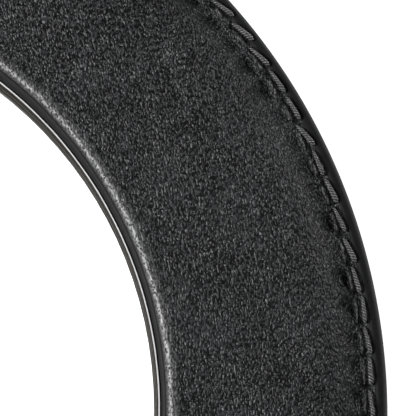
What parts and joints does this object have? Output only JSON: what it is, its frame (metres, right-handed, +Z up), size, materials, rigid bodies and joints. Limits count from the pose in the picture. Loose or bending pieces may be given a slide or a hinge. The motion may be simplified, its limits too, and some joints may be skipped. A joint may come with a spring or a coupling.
{
  "type": "saxophone neck strap",
  "caption": "Padded crescent leather neck collar with saddle-stitched rim, two leather straps, button-stud drop and swivel snap hook for a saxophone.",
  "frame": {"origin": "middle of the strap's footprint on the surface that it lies on, suede side down", "axes": "+Y from the snap hook to the back of the neck, +X to the right of the strap seen from above, +Z up out of the leather's face"},
  "size_m": [0.202, 0.414, 0.0082],
  "materials": {
    "cover_leather": "black full-grain leather, satin, fine grain",
    "lining_suede": "dark grey suede, matte",
    "strap_leather": "black smooth leather, satin, waxed edges",
    "piping": "black glossy bead",
    "thread": "black waxed twisted polyester",
    "foam": "felted foam",
    "stiffener": "sheet plastic",
    "nickel": "polished nickel plate",
    "spring_steel": "drawn wire"
  },
  "bodies": {
    "collar": {"lining_leather": "lining_suede", "stiffener_plate": "stiffener", "padding_core": "foam", "cover_leather": "cover_leather", "edge_piping": "piping", "edge_stitching": "thread", "left_tab": "strap_leather", "right_tab": "strap_leather", "tab_rivet_studs": "nickel", "tab_rivet_caps": "nickel"},
    "rings": {"left_ring": "nickel", "right_ring": "nickel"},
    "yoke": {"left_strap": "strap_leather", "right_strap": "strap_leather", "centre_ring": "nickel", "strap_rivet_studs": "nickel", "strap_rivet_caps": "nickel"},
    "drop": {"billet_strap": "strap_leather", "stud_strap": "strap_leather", "adjuster_stud": "nickel", "stud_screw": "nickel", "drop_rivet_studs": "nickel", "drop_rivet_caps": "nickel"},
    "keeper": {"keeper_loop": "strap_leather"},
    "eye": {"swivel_eye": "nickel"},
    "hook": {"hook_body": "nickel", "swivel_post": "nickel", "gate_pin": "spring_steel", "gate_spring": "spring_steel"},
    "gate": {"gate": "nickel"}
  },
  "joints": [
    {"name": "ring_swing", "type": "hinge", "parent": "collar", "child": "rings", "pos_m": [0, 0.05535, 0.003], "axis": [1, 0, 0], "range_deg": [-60, 60]},
    {"name": "yoke_swing", "type": "hinge", "parent": "rings", "child": "yoke", "pos_m": [0, 0.04235, 0.003], "axis": [1, 0, 0], "range_deg": [-60, 60]},
    {"name": "drop_swing", "type": "hinge", "parent": "yoke", "child": "drop", "pos_m": [0, -0.0705, 0.003], "axis": [1, 0, 0], "range_deg": [-75, 75]},
    {"name": "keeper_slide", "type": "slide", "parent": "drop", "child": "keeper", "axis": [0, 1, 0], "range_m": [-0.008, 0.018]},
    {"name": "eye_swing", "type": "hinge", "parent": "drop", "child": "eye", "pos_m": [0, -0.1555, 0.003], "axis": [1, 0, 0], "range_deg": [-90, 90]},
    {"name": "hook_swivel", "type": "hinge", "parent": "eye", "child": "hook", "pos_m": [0, -0.1715, 0.003], "axis": [0, 1, 0], "continuous": true},
    {"name": "gate_open", "type": "hinge", "parent": "hook", "child": "gate", "pos_m": [0.0075, -0.1855, 0.003], "axis": [0, 0, -1], "range_deg": [0, 30], "stiffness_Nm_per_rad": 0.02, "springref_deg": -17.19}
  ]
}
